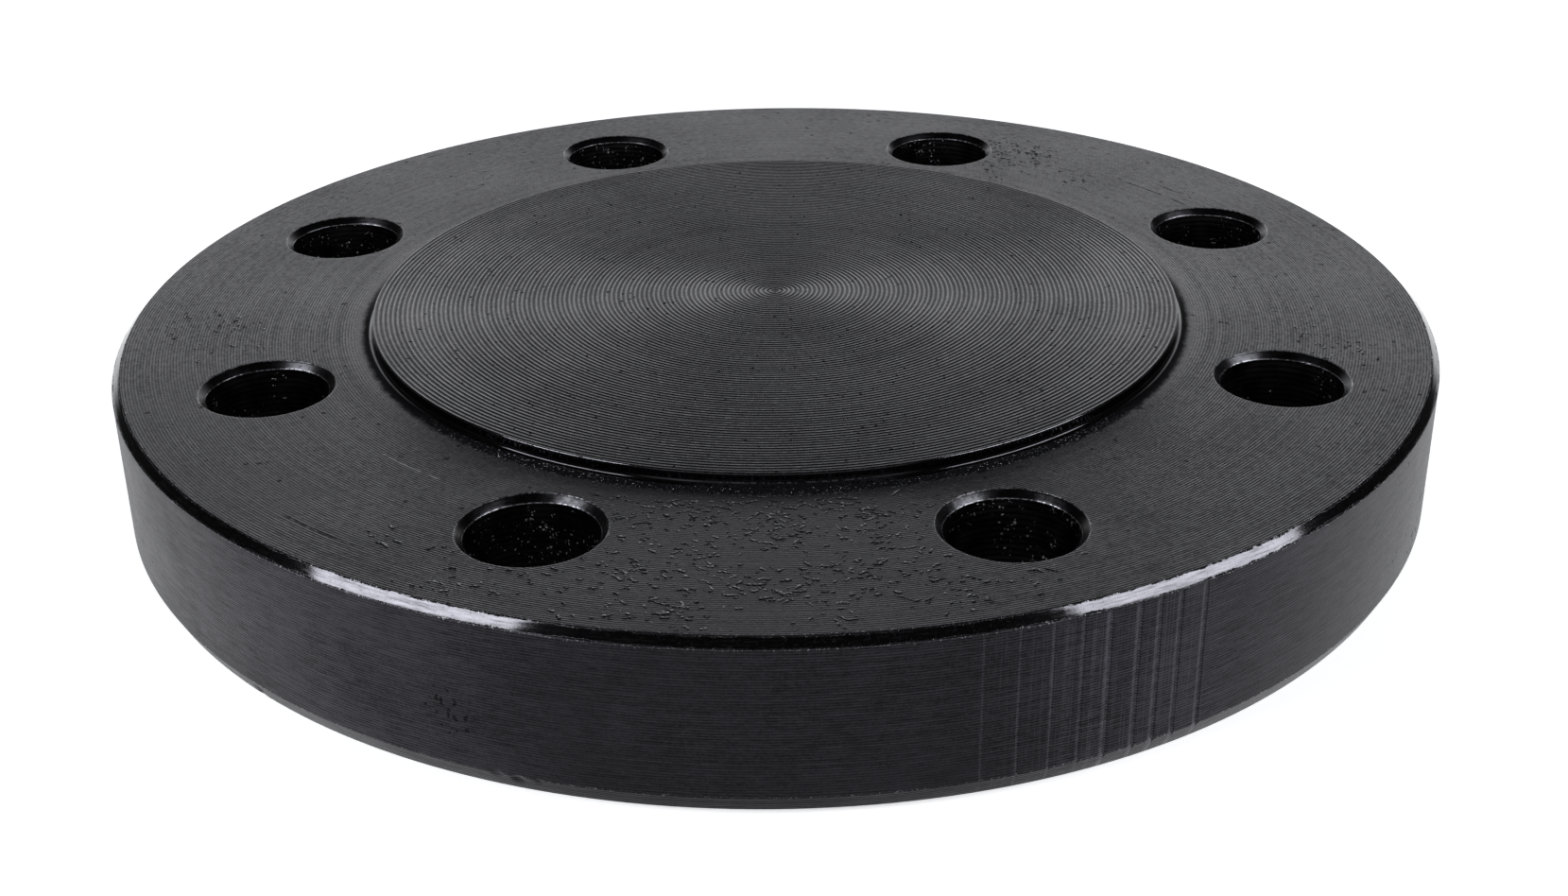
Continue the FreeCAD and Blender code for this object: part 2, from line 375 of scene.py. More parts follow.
def worn(points, sizes, wear):
    """The points of the disc with the rim's moved inwards. The jaw marks are cut into it. A dent takes
    depth * exp(-distance^3) off the radius, with the distance in half widths. The bevels lose up to their
    unevenness."""
    radius, turns, height = polar(points)
    rim = radius > RIM - 1.5 * sizes.front_bevel
    t, h = turns[rim] % TURN, height[rim]
    on_bevel = np.minimum(np.abs(h - sizes.plate) / sizes.front_bevel, 1)
    on_bevel = on_bevel * (h > sizes.plate - 2 * sizes.front_bevel)
    r = radius[rim] - wear.unevenness * (0.6 * wander(t, 3, 4, 40) * on_bevel + 0.4 * wander(t, 5, 3, 25))
    r = np.minimum(r, RIM - jaw_cut(t, h, sizes) * wear.jaw_depth)
    across = apart(t, np.radians(DENTS[:, 0])) * RIM / MM / DENTS[:, 2]
    up = (h[:, None] / MM - DENTS[:, 1]) / DENTS[:, 3]
    r = r - (np.exp(-np.hypot(across, up) ** 3) * DENTS[:, 4]).sum(1) * MM * wear.dents
    scale = np.ones(len(points))
    scale[rim] = r / radius[rim]
    return points * np.column_stack([scale, scale, np.ones(len(points))])


def corner_gap(points, sizes):
    """How far each point is from the nearest turned corner, up to 1.5 mm: the least of the distances in
    radius and height to the rings of the disc and, with the radius from the nearest hole's axis, of the
    bolt holes."""
    plate, bore, back = sizes.plate, HOLE_RADIUS, sizes.hole_back
    radius, turns, height = polar(points)
    rings = np.array([(sizes.seal_diameter / 2, TOP), (RIM - sizes.front_bevel, plate),
                      (RIM, plate - sizes.front_bevel), (RIM, BACK + sizes.back_bevel_height),
                      (RIM - sizes.back_bevel, BACK)])
    mouths = np.array([(bore + sizes.mouth, plate), (bore, plate - sizes.mouth), (bore, BACK + back),
                       (bore + back, BACK)])
    gaps = [np.hypot(r[:, None] - corners[:, 0], height[:, None] - corners[:, 1]).min(1)
            for r, corners in ((radius, rings), (from_hole(radius, turns), mouths))]
    return np.minimum(np.minimum(*gaps), 1.5 * MM)


def groove_pitch(sizes):
    """From one gasket groove to the next. They fill the raised face inside its edge break."""
    return (sizes.seal_diameter / 2 - sizes.seal_edge) / sizes.grooves


def seal_rows(first, last, sizes):
    """Rows of the grooves from number first to last. A groove is an arc: its depth is full in the middle
    and falls with the square of the distance from it, to nothing at the flat crest's edges."""
    across = np.array([0.06, 0.29, 0.71, 0.94])
    depth = sizes.groove_depth * (1 - ((across - 0.5) / GROOVE_HALF) ** 2)
    radius = (np.arange(first, last)[:, None] + across) * groove_pitch(sizes)
    return np.stack([radius, np.broadcast_to(TOP - depth, radius.shape)], -1).reshape(-1, 2)


def add_raised_face(skin, sizes):
    """The grooves from the centre out, in three blocks with more and more stations. Gives the last row."""
    last = None
    for first, end, stations in ((0, 6, 40), (6, 20, 80), (20, sizes.grooves, 160)):
        rows = seal_rows(first, end, sizes)
        points = revolve(rows, evenly(stations))
        skin.grid(points, SERRATED, [n for n in range(len(rows)) if n % 4 in (0, 3)])
        if last is None:
            skin.cap(points[0], (0, 0, TOP), SERRATED, True)
        else:
            skin.zip(last, points[0], SERRATED)
        last = points[-1]
    return last


def add_seal_side(skin, sizes, crest, near):
    """The edge break, wall and root of the raised face, and the ring face out to the radius near. Gives
    the last row."""
    seal, plate, edge, root = sizes.seal_diameter / 2, sizes.plate, sizes.seal_edge, sizes.seal_root
    bend = np.linspace(0, math.pi / 2, 5)
    over = [seal - edge, TOP - edge] + edge * np.column_stack([np.sin(bend), np.cos(bend)])
    foot = [seal + root, plate + root] - root * np.column_stack([np.cos(bend), np.sin(bend)])
    wall, flat = [(seal, TOP - edge - 0.3 * MM)], [(seal + 1.2 * MM, plate), (near, plate)]
    side = revolve(np.concatenate([over, wall, foot, flat]), evenly(160))
    foot_row = len(over) + len(wall) + len(foot) - 1
    skin.grid(np.concatenate([crest[None], side[:1]]), SERRATED, [0])
    skin.grid(side[:foot_row + 1], EDGE)
    skin.grid(side[foot_row:], FACE)
    return side[-1]


def add_rim(skin, sizes, far):
    """The ring face from the radius far out, the front bevel, the rim's wall, the back bevel and the back
    in to far again. Gives the first and the last row."""
    plate, bevel, rise = sizes.plate, sizes.front_bevel, BACK + sizes.back_bevel_height
    front = rounded([(far + 0.4 * MM, plate), (RIM - bevel, plate), (RIM, plate - bevel),
                     (RIM, plate - bevel - 0.7 * MM)], sizes.corner)
    front = np.insert(front, 4, [(RIM - bevel * s, plate - bevel * (1 - s)) for s in (0.66, 0.33)], 0)
    heights = np.array([28.0, 26.5, 23.0, 18.0, 13.0, 8.0, 5.6, 4.4, 3.8]) * MM
    back = rounded([(RIM, rise + 0.4 * MM), (RIM, rise), (RIM - sizes.back_bevel, BACK), (far, BACK)],
                   sizes.corner)
    steps = np.linspace(0, 1, 6)[1:-1, None]
    back = np.concatenate([back[:4], back[3] + (back[4] - back[3]) * steps, back[4:]])
    wall = np.concatenate([front[-1:], [(RIM, height) for height in heights], back[:1]])
    turns = rim_turns()
    start, front, wall, back = (revolve(rows, turns) for rows in ([(far, plate)], front, wall, back))
    skin.grid(np.concatenate([start, front[:2]]), FACE)
    skin.grid(front[1:7], EDGE)
    for rows in (front[6:], wall, back[:-1]):
        skin.grid(rows, RIM_WALL)
    skin.grid(back[-2:], REAR)
    return start[0], back[-1]


def sector_outline(inner, outer, height):
    """The rays from the axis of a bolt hole on +X, and the outline of its share of the ring where they meet
    it: 38 steps on the outer arc, 16 down each side and 26 on the inner arc, the rays evenly spread
    between the corners."""
    half = PART / 2
    across, along = math.sin(half), math.cos(half)
    corners = [math.atan2(r * across, r * along - CIRCLE_RADIUS) for r in (outer, inner)]
    ends = np.array([-corners[0], corners[0], corners[1], TURN - corners[1], TURN - corners[0]])
    steps = zip(ends, ends[1:], (38, 16, 26, 16))
    rays = np.concatenate([np.linspace(first, last, count, endpoint=False) for first, last, count in steps])
    c, s = np.cos(rays), np.sin(rays)
    inwards = CIRCLE_RADIUS * c
    on_arc = [sign * np.sqrt(np.maximum(inwards**2 + radius**2 - CIRCLE_RADIUS**2, 0)) - inwards
              for radius, sign in ((outer, 1), (inner, -1))]
    k = np.arange(len(rays))
    with np.errstate(divide="ignore", invalid="ignore"):
        on_side = CIRCLE_RADIUS * across / (np.abs(s) * along - c * across)
    reach = np.select([k <= 38, (k > 54) & (k < 80)], on_arc, on_side)
    reach[[54, 80]] = math.hypot(inner * across, inner * along - CIRCLE_RADIUS)
    return rays, np.column_stack([CIRCLE_RADIUS + reach * c, reach * s, np.full(len(rays), height)])


def hole_section(sizes):
    """Half a bolt hole's section, as (distance from its axis, height), from the back up to the ring face,
    with two rows across its countersink."""
    bore, mouth, edge, plate = HOLE_RADIUS, sizes.mouth, sizes.hole_back, sizes.plate
    foot = rounded([(bore + edge + 0.2 * MM, BACK), (bore + edge, BACK), (bore, BACK + edge),
                    (bore, BACK + 6 * MM)], 0.1 * MM)
    cone = [(bore + mouth * s, plate - mouth * (1 - s)) for s in (0.33, 0.67)]
    lip = rounded([(bore, 24 * MM), (bore, plate - mouth), (bore + mouth, plate),
                   (bore + mouth + 0.4 * MM, plate)], 0.14 * MM)
    return np.concatenate([[(bore + edge + 0.4 * MM, BACK)], foot, [(bore, 12 * MM), (bore, 18 * MM)],
                           np.insert(lip, 4, cone, 0)])


def add_bolt_holes(skin, sizes, inner, outer):
    """The bolt holes with their shares of the ring between two radii. Gives the ring's inner and outer
    row, at the ring face and at the back."""
    rays, top = sector_outline(inner, outer, sizes.plate)
    _, back = sector_outline(inner, outer, BACK)
    hole = revolve(hole_section(sizes), rays) + [CIRCLE_RADIUS, 0, 0]
    outwards = np.array([0.03, 0.12, 0.3, 0.6, 1.0])[:, None, None]
    under = hole[0] + (back - hole[0]) * outwards[::-1]
    over = hole[-1] + (top - hole[-1]) * outwards
    low = len(hole) - 9
    patches = ((np.concatenate([under, hole[:2]]), REAR), (hole[1:low + 1], BORE), (hole[low:-1], MOUTH),
               (np.concatenate([hole[-2:], over]), FACE))
    turns = [PART * (k + 0.5) for k in range(BOLTS["count"])]
    for turn in turns:
        for rows, finish in patches:
            skin.grid(about_axis(rows, turn), finish)
    outer_arc, inner_arc = slice(0, 38), slice(80, 54, -1)
    return [[np.concatenate([about_axis(outline[arc], turn) for turn in turns])
             for arc in (inner_arc, outer_arc)] for outline in (top, back)]


def add_back(skin, ring):
    """The middle of the back, inside the ring of bolt holes."""
    centre = revolve([(r * MM, BACK) for r in (76.0, 60.0, 40.0, 20.0)], evenly(64))
    skin.zip(ring, centre[0], REAR)
    skin.grid(centre, REAR)
    skin.cap(centre[-1], (0, 0, BACK), REAR, False)


class FLANGE_OT_disc(bpy.types.Operator):
    """Builds the disc: grooved raised face, ring face, bevels, rim, back and bolt holes as one skin"""

    bl_idname = "flange.disc"
    bl_label = "Build the disc"
    bl_options = {"REGISTER", "UNDO"}

    def execute(self, context):
        """Between the radii near and far lies the ring of bolt holes, with strips of triangles a margin
        wide on either side. The disc gets its wear last."""
        sizes, wear = context.scene.flange_sizes, context.scene.flange_wear
        near, far = sizes.seal_diameter / 2 + 1.6 * MM, RIM - sizes.front_bevel - 0.8 * MM
        margin = 0.9 * MM
        skin = Skin()
        root = add_seal_side(skin, sizes, add_raised_face(skin, sizes), near)
        start, end = add_rim(skin, sizes, far)
        top, back = add_bolt_holes(skin, sizes, near + margin, far - margin)
        skin.zip(root, top[0], FACE)
        skin.zip(top[1], start, FACE)
        skin.zip(end, back[1], REAR)
        add_back(skin, back[0])

        piece = skin.piece("flange_disc", lambda points: worn(points, sizes, wear))
        places = np.empty(len(piece.data.vertices) * 3, np.float32)
        piece.data.vertices.foreach_get("co", places)
        places = places.reshape(-1, 3).astype(float)
        radius, turns, height = polar(places)
        rub = jaw_cut(turns, height, sizes) / (JAW_MARKS[:, 2].max() * MM)
        rub[radius < RIM - sizes.front_bevel] = 0.0
        store(piece, corner_gap=corner_gap(places, sizes), jaw_rub=rub)
        for make in (serrated_face, turned_face, burnished_edge, countersunk_mouth, turned_rim,
                     drilled_bore, turned_back):
            piece.data.materials.append(make(context.scene.flange_finish))
        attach(piece, "root")
        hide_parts("blind_flange")
        return {"FINISHED"}


def fleck_places(count, sizes):
    """Radius, turn and room of that many torn flecks, as rows: strewn about seeded middles in the fields
    that the photo shows, none within 0.8 mm of a bolt hole's mouth, 3 mm of the raised face or 1 mm of the
    rim's bevel. The room is the distance to the nearest of those edges."""
    pick = np.random.default_rng(21)
    seal, bevel = sizes.seal_diameter / 2, RIM - sizes.front_bevel
    near, far = seal + 3 * MM, bevel - 1 * MM
    # Each field: azimuth and spread in degrees, inner and outer radius, count of middles
    fields = ((271, 13, near, far, 110), (186, 3, 102 * MM, 118 * MM, 12), (348, 3, 101 * MM, 115 * MM, 7),
              (60, 7, 90 * MM, 112 * MM, 14))
    middles = np.concatenate([
        np.column_stack([pick.uniform(low, high, n), np.radians(pick.normal(azimuth, spread, n))])
        for azimuth, spread, low, high, n in fields
    ])
    each = 16
    strewn = pick.normal(0, 1, (each * len(middles), 2)) * (2.6 * MM, math.radians(1.8))
    radius, turns = (np.repeat(middles, each, 0) + strewn).T
    mouth = from_hole(radius, turns) - HOLE_RADIUS - sizes.mouth
    clear = (mouth > 0.8 * MM) & (radius > near) & (radius < far)
    room = np.minimum(mouth, np.minimum(radius - seal, bevel - radius))
    return pick.permutation(np.column_stack([radius, turns, room])[clear])[:count].T


def fleck_ridges(places, plate, height):
    """Points of the flecks, as an array of flecks, stations, three sides and (x, y, z, painted light). Each
    fleck is a ridge along a wandering path. At the share s of its length, from -1/2 to 1/2, the path heads
    b + a sin(2 pi w s + p) off the turning direction, with b, a, w and p drawn for each fleck. The ridge
    rises by its height times sqrt(1 - 4 s squared), times a bead drawn for each station and a lump every
    0.8 mm, the size of a sine. Its feet lie as many half widths to either side, a little sunk. The painted
    light is the ridge's brightness: above 0 a painted highlight on the crest, below 0 a painted shadow on
    the foot that faces the camera."""
    radius, turns, room = (values[:, None] for values in places)
    count, stations = len(radius), 11
    pick = np.random.default_rng(7)

    def draw(low, high):
        return pick.uniform(low, high, (count, 1))

    size = np.clip(pick.lognormal(0.05, 0.6, (count, 1)), 0.5, 4.2) * MM
    size = np.minimum(size * np.where(np.sin(turns) > -0.5, 0.6, 1.0), 1.6 * room)
    s = np.linspace(-0.5, 0.5, stations)
    base = pick.normal(0, 0.45, (count, 1))
    heading = base + draw(0.1, 0.9) * np.sin(TURN * draw(0.5, 1.5) * s + draw(0, TURN))
    lumps = 0.3 + 0.7 * np.abs(np.sin(math.pi * size / (0.8 * MM) * s + draw(0, math.pi)))
    beads = pick.uniform(0.65, 1.0, (2, count, stations)) * lumps * np.sqrt(1 - 4 * s**2)
    ahead, aside = np.cos(heading), np.sin(heading)
    along, across = (np.cumsum(way, 1) * size / (stations - 1) for way in (ahead, aside))
    along, across = along - along.mean(1, keepdims=True), across - across.mean(1, keepdims=True)
    half = np.minimum(draw(0.36, 0.72) * MM, 0.45 * size) * beads[0] * (0.6 + 0.4 * np.abs(ahead))
    up = height * draw(0.6, 1.3) * np.minimum(1, size / MM) * beads[1]
    side, foot = (np.array(values)[:, None, None] for values in ((1, 0, -1), (1, 0, 1)))
    r = radius + across + side * ahead * half
    t = turns + (along - side * aside * half) / radius
    z = plate + np.where(foot, -0.02 * MM, up)
    away = side * (ahead * np.sin(turns) - aside * np.cos(turns))
    # Painted light: a painted highlight on the crest and a painted shadow on the foot that faces the camera
    torn = np.where(foot, 0.1 + 0.1 * away + 1.9 * np.minimum(away, 0), 0.85 * beads[1] - 0.05)
    return np.stack([r * np.cos(t), r * np.sin(t), z, torn]).transpose(2, 3, 1, 0)


class FLANGE_OT_flecks(bpy.types.Operator):
    """Strews the flecks that the tool tore up over the ring face, most of them in front"""

    bl_idname = "flange.flecks"
    bl_label = "Strew the torn flecks"
    bl_options = {"REGISTER", "UNDO"}

    def execute(self, context):
        """Each ridge is closed: quads join the three sides of its stations, and its ends are points."""
        sizes, wear = context.scene.flange_sizes, context.scene.flange_wear
        ridges = fleck_ridges(fleck_places(wear.flecks, sizes), sizes.plate, wear.fleck_height)
        count, inner = len(ridges), ridges.shape[1] - 2
        tips, sides = ridges[:, (0, -1), 2], ridges[:, 1:-1].reshape(count, -1, 4)
        points = np.concatenate([tips, sides], 1)
        side, size = np.arange(3), points.shape[1]
        here = 2 + 3 * np.arange(inner)[:, None] + side
        beside = np.roll(here, -1, 1)
        faces = np.concatenate([
            np.stack([here[:-1], here[1:], beside[1:], beside[:-1]], -1).reshape(-1, 4),
            np.stack([0 * side, here[0], beside[0], beside[0]], 1),
            np.stack([0 * side + 1, beside[-1], here[-1], here[-1]], 1),
        ])
        faces = (faces + size * np.arange(count)[:, None, None]).reshape(-1, 4)
        crisp = np.full((count, size), -1)
        crisp[:, 2::3] = 2 * np.arange(count)[:, None]
        crisp[:, 4::3] = crisp[:, 2::3] + 1
        skin = Skin()
        skin.put(points[..., :3], faces, 0, crisp.ravel())
        piece = skin.piece("torn_flecks")
        # Each point's painted highlight or painted shadow, kept for the ring face's material
        torn = points[..., 3].ravel()[skin.kept]
        store(piece, corner_gap=np.full(len(torn), 1.5 * MM), torn=torn)
        face = bpy.data.materials.get("turned_face") or turned_face(context.scene.flange_finish)
        piece.data.materials.append(face)
        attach(piece, "root")
        return {"FINISHED"}


# Finishes


class Wire:
    """One output of a node. Sums and products of wires and numbers add the maths nodes that they need."""

    def __init__(self, nodes, socket):
        self.nodes, self.socket = nodes, socket

    def __add__(self, other):
        return self.nodes.math("ADD", self, other)

    def __sub__(self, other):
        return self.nodes.math("SUBTRACT", self, other)

    def __rsub__(self, other):
        return self.nodes.math("SUBTRACT", other, self)

    def __mul__(self, other):
        return self.nodes.math("MULTIPLY", self, other)

    def __truediv__(self, other):
        return self.nodes.math("DIVIDE", self, other)

    def __abs__(self):
        return self.nodes.math("ABSOLUTE", self)

    __radd__, __rmul__ = __add__, __mul__


class Wires:
    """The outputs of a node, by name or in order."""

    def __init__(self, nodes, sockets):
        self.nodes, self.sockets = nodes, sockets

    def __getitem__(self, key):
        return Wire(self.nodes, self.sockets[key])

    def __iter__(self):
        return (Wire(self.nodes, socket) for socket in self.sockets)


class Nodes:
    """Adds nodes to a tree by short calls, each of which gives a wire from the new node."""

    def __init__(self, tree):
        self.tree = tree
        tree.nodes.clear()

    def place(self, kind, inputs=None, **settings):
        """All the wires from a new node."""
        node = self.tree.nodes.new(kind)
        row, column = divmod(len(self.tree.nodes), 12)
        node.location = (190 * column, -170 * row)
        for name, value in settings.items():
            setattr(node, name, value)
        for name, value in (inputs or {}).items():
            if isinstance(value, Wire):
                self.tree.links.new(value.socket, node.inputs[name])
            else:
                node.inputs[name].default_value = value
        return Wires(self, node.outputs)

    def add(self, kind, inputs=None, out=0, **settings):
        return self.place(kind, inputs, **settings)[out]

    def attribute(self, name):
        """What the mesh keeps for each point under that name."""
        return self.add("ShaderNodeAttribute", out=2, attribute_name=name)

    def math(self, operation, a, b=0.0):
        return self.add("ShaderNodeMath", {0: a, 1: b}, operation=operation)

    def most(self, first, *others):
        """The largest of the values."""
        for other in others:
            first = self.math("MAXIMUM", first, other)
        return first

    def vector(self, operation, a, b=(0.0, 0.0, 0.0), out=0):
        return self.add("ShaderNodeVectorMath", {0: a, 1: b}, out=out, operation=operation)

    def scaled(self, vector, scale):
        return self.add("ShaderNodeVectorMath", {0: vector, "Scale": scale}, operation="SCALE")

    def split(self, vector):
        return self.place("ShaderNodeSeparateXYZ", {0: vector})

    def join(self, x, y, z=0.0):
        return self.add("ShaderNodeCombineXYZ", {0: x, 1: y, 2: z})

    def ramp(self, value, low, high, to_low=0.0, to_high=1.0):
        """A smooth step from to_low at low to to_high at high."""
        inputs = {"Value": value, "From Min": low, "From Max": high, "To Min": to_low, "To Max": to_high}
        return self.add("ShaderNodeMapRange", inputs, interpolation_type="SMOOTHSTEP")

    def spot(self, position, middle, reach, full=1.0):
        """full near a place given in millimetres, fading to 0 at reach from it."""
        away = self.vector("DISTANCE", position, tuple(c * MM for c in middle), out=1)
        return self.ramp(away, 0.35 * reach * MM, reach * MM, full, 0.0)

    def noise(self, vector, scale, detail=2.0, roughness=0.5, out=0):
        inputs = {"Vector": vector, "Scale": scale, "Detail": detail, "Roughness": roughness}
        return self.add("ShaderNodeTexNoise", inputs, out=out)

    def chance(self, number):
        """A value between 0 and 1 for each whole number."""
        return self.add("ShaderNodeTexWhiteNoise", {"W": number}, noise_dimensions="1D")

    def mix(self, amount, a, b):
        """Colour b over colour a."""
        a, b = (colour if isinstance(colour, Wire) else (*colour, 1.0) for colour in (a, b))
        return self.add("ShaderNodeMix", {0: amount, 6: a, 7: b}, out=2, data_type="RGBA")

    def shade(self, colour, tone):
        """A colour made lighter or darker by a tone round 1."""
        return self.scaled(tuple(colour), tone)

    def bump(self, height, distance, normal=None):
        under = {"Normal": normal} if normal else {}
        return self.add("ShaderNodeBump", {"Height": height, "Distance": distance} | under)


def titled(name):
    """The socket that an argument stands for."""
    return name.replace("_", " ").title()


def new_group(fill, inputs, outputs):
    """A shader node group that holds what fill adds. fill takes the wires of the inputs and gives those of
    the outputs."""
    tree = bpy.data.node_groups.new(fill.__name__, "ShaderNodeTree")
    nodes = Nodes(tree)
    for name, default in inputs.items():
        kind = "NodeSocketVector" if default is None else "NodeSocketFloat"
        made = tree.interface.new_socket(titled(name), in_out="INPUT", socket_type=kind)
        if default is not None:
            made.default_value = default
    for name in outputs:
        kind = "NodeSocketVector" if name in ("Around", "From Hole") else "NodeSocketFloat"
        tree.interface.new_socket(name, in_out="OUTPUT", socket_type=kind)
    given = nodes.place("NodeGroupInput")
    results = fill(nodes, *(given[titled(name)] for name in inputs))
    nodes.place("NodeGroupOutput", dict(zip(outputs, results)))
    return tree


def shared(*outputs, **inputs):
    """Makes a function stand for a shader node group of its name, built once. Its calls take the nodes to
    add the group to and its inputs, and give its one output or all of them. The inputs come with their
    defaults, of which None is a vector."""
    def stand_in(fill):
        @functools.wraps(fill)
        def add(nodes, *values, **named):
            tree = bpy.data.node_groups.get(fill.__name__) or new_group(fill, inputs, outputs)
            given = dict(zip(inputs, values)) | named
            given = {titled(name): value for name, value in given.items()}
            wires = nodes.place("ShaderNodeGroup", given, node_tree=tree)
            return wires if len(outputs) > 1 else wires[0]
        return add
    return stand_in


@shared("Radius", "Height", "Turn", "Around", position=None, lengthwise=10.0, fineness=3000.0)
def disc_place(n, position, lengthwise, fineness):
    """Where a point is on the disc: its radius, height and turn, and a place for noise that is stretched
    round the disc, the direction from the axis times lengthwise with fineness times the sum of the radius
    and twice the height, which no bevel keeps constant."""
    x, y, z = n.split(position)
    flat = n.join(x, y)
    radius = n.vector("LENGTH", flat, out=1)
    a, b, _ = n.split(n.scaled(n.vector("NORMALIZE", flat), lengthwise))
    return radius, z, n.math("ARCTAN2", y, x), n.join(a, b, (2.0 * z + radius) * fineness)


@shared("From Hole", position=None)
def hole_place(n, position):
    """Where a point is from the axis of its own bolt hole: the turn about the disc is rounded to the
    nearest hole's, and that hole's centre is taken off. The height is shifted by the hole's number so that
    no two holes look alike."""
    x, y, z = n.split(position)
    number = n.math("FLOOR", n.math("ARCTAN2", y, x) / PART)
    turn = (number + 0.5) * PART
    across = x - n.math("COSINE", turn) * CIRCLE_RADIUS
    along = y - n.math("SINE", turn) * CIRCLE_RADIUS
    return [n.join(across, along, 0.037 * number + z)]


@shared("Lines", "Tone", "Grain", position=None, around=None, along=0.0, pitch=0.5 * MM, waver=0.3,
        grain_scale=2300.0)
def tool_lines(n, position, around, along, pitch, waver, grain_scale):
    """Feed lines of the lathe, 0 in the valleys and 1 on the ridges: a sine of along over pitch that wavers
    from place to place. Tone adds dashes along the lines and grain, and its mean is about a half."""
    turns = n.noise(position, 60.0, 3.0) * waver + along / pitch
    wave = 0.5 + 0.5 * n.math("SINE", turns * TURN)
    lines = wave * (0.55 + 0.45 * n.chance(n.math("FLOOR", turns + 0.25)))
    dashes = n.ramp(n.noise(around, 1.0, 3.0, 0.65), 0.30, 0.68)
    strength = n.ramp(n.noise(position, 24.0, 4.0, 0.6), 0.36, 0.62, 0.55, 1.0)
    grain = n.ramp(n.noise(position, grain_scale, 3.0, 0.7), 0.28, 0.72)
    mixed = 0.55 * lines + 0.3 * dashes + 0.3 * grain
    return lines * strength, (mixed - 0.5) * strength + 0.5, grain


@shared("Specks", position=None, scale=1500.0, share=0.4, amount=1.0, bend=1.2, softness=0.08)
def specks(n, position, scale, share, amount, bend, softness):
    """Small irregular spots, pits or flecks by use: Voronoi cells of a bent space, a share of them filled
    to a size of its own where amount is high, the edge ramped over softness."""
    aside = n.vector("SUBTRACT", n.noise(position, scale * 1.4, 3.0, 0.6, out=1), (0.5, 0.5, 0.5))
    bent = n.vector("ADD", position, n.scaled(aside, bend / scale))
    cell = n.place("ShaderNodeTexVoronoi", {"Vector": bent, "Scale": scale})
    chance, _, _ = n.split(cell["Color"])
    empty = 1.0 - share
    reach = n.ramp(chance, empty, 1.0, 0.1, 0.46) * n.math("GREATER_THAN", chance, empty)
    return [n.ramp(reach * amount - cell["Distance"], 0.0, softness)]


@shared("Amount", position=None, scale=35.0, level=0.55)
def clusters(n, position, scale, level):
    """Where pits gather: wherever slow noise rises above level."""
    return [n.ramp(n.noise(position, scale, 3.0, 0.6), level, level + 0.1)]


@shared("Scratch", position=None, radius=0.0, turn=0.0, at=0.1, start=0.0, end=10.0, width=0.4 * MM)
def arc_scratch(n, position, radius, turn, at, start, end, width):
    """A scratch round the disc at a radius, between two turns in degrees, its line and its strength
    ragged."""
    ragged = n.noise(position, 500.0, 4.0, 0.7)
    aside = abs((ragged - 0.5) * MM + radius - at)
    degrees = n.math("DEGREES", turn)
    ends = n.ramp(degrees - start, 0.0, 1.0) * n.ramp(end - degrees, 0.0, 1.0)
    across = n.ramp(aside / width, 0.3, 1.0, 1.0, 0.0)
    return [across * ends * n.ramp(n.noise(position, 330.0, 3.0, 0.6), 0.4, 0.52)]


@shared("Worn", "Glints", position=None, gap=0.0, width=0.4 * MM)
def corner_wear(n, position, gap, width):
    """Ragged wear along turned corners: the distance to the nearest corner, from the mesh's corner_gap,
    plus noise, within a width. Glints are bright grains of it."""
    fine = n.noise(position, 2600.0, 4.0, 0.7)
    broad = n.noise(position, 240.0, 3.0, 0.6)
    ragged = 1.6 * (fine - 0.5) + 2.4 * (broad - 0.5)
    near = n.ramp(gap / width + ragged, 0.5, 0.75, 1.0, 0.0)
    return near, near * n.ramp(n.noise(position, 3000.0, 2.0, 0.6), 0.58, 0.62)


@shared("Depth", "Tone", radius=0.0, pitch=0.94 * MM)
def gasket_grooves(n, radius, pitch):
    """The grooves of the raised face again, for the painted shade in them: depth is 0 on a crest and 1 at
    the bottom, as the square law of their arc has it, and tone differs from groove to groove."""
    turns = radius / pitch
    within = (n.math("FRACT", turns) - 0.5) / GROOVE_HALF
    return n.most(1.0 - within * within, 0.0), n.chance(n.math("FLOOR", turns))


def material(look):
    """Makes a function stand for the material of its name. The function gives base colour, metallic,
    roughness and normal. The less metallic it is, the more it takes the matt dark colour of pits and of
    painted shade."""
    @functools.wraps(look)
    def make(finish):
        made = bpy.data.materials.new(look.__name__)
        made.use_nodes = True
        n = Nodes(made.node_tree)
        colour, metal, rough, normal = look(n, n.add("ShaderNodeTexCoord", out=3), finish)
        steel = {"Base Color": n.mix(metal, finish.grime_and_shade, colour), "Metallic": metal, "Roughness": rough,
                 "Normal": normal, "Specular IOR Level": 0.0}
        n.place("ShaderNodeOutputMaterial", {0: n.add("ShaderNodeBsdfPrincipled", steel)})
        return made
    return make


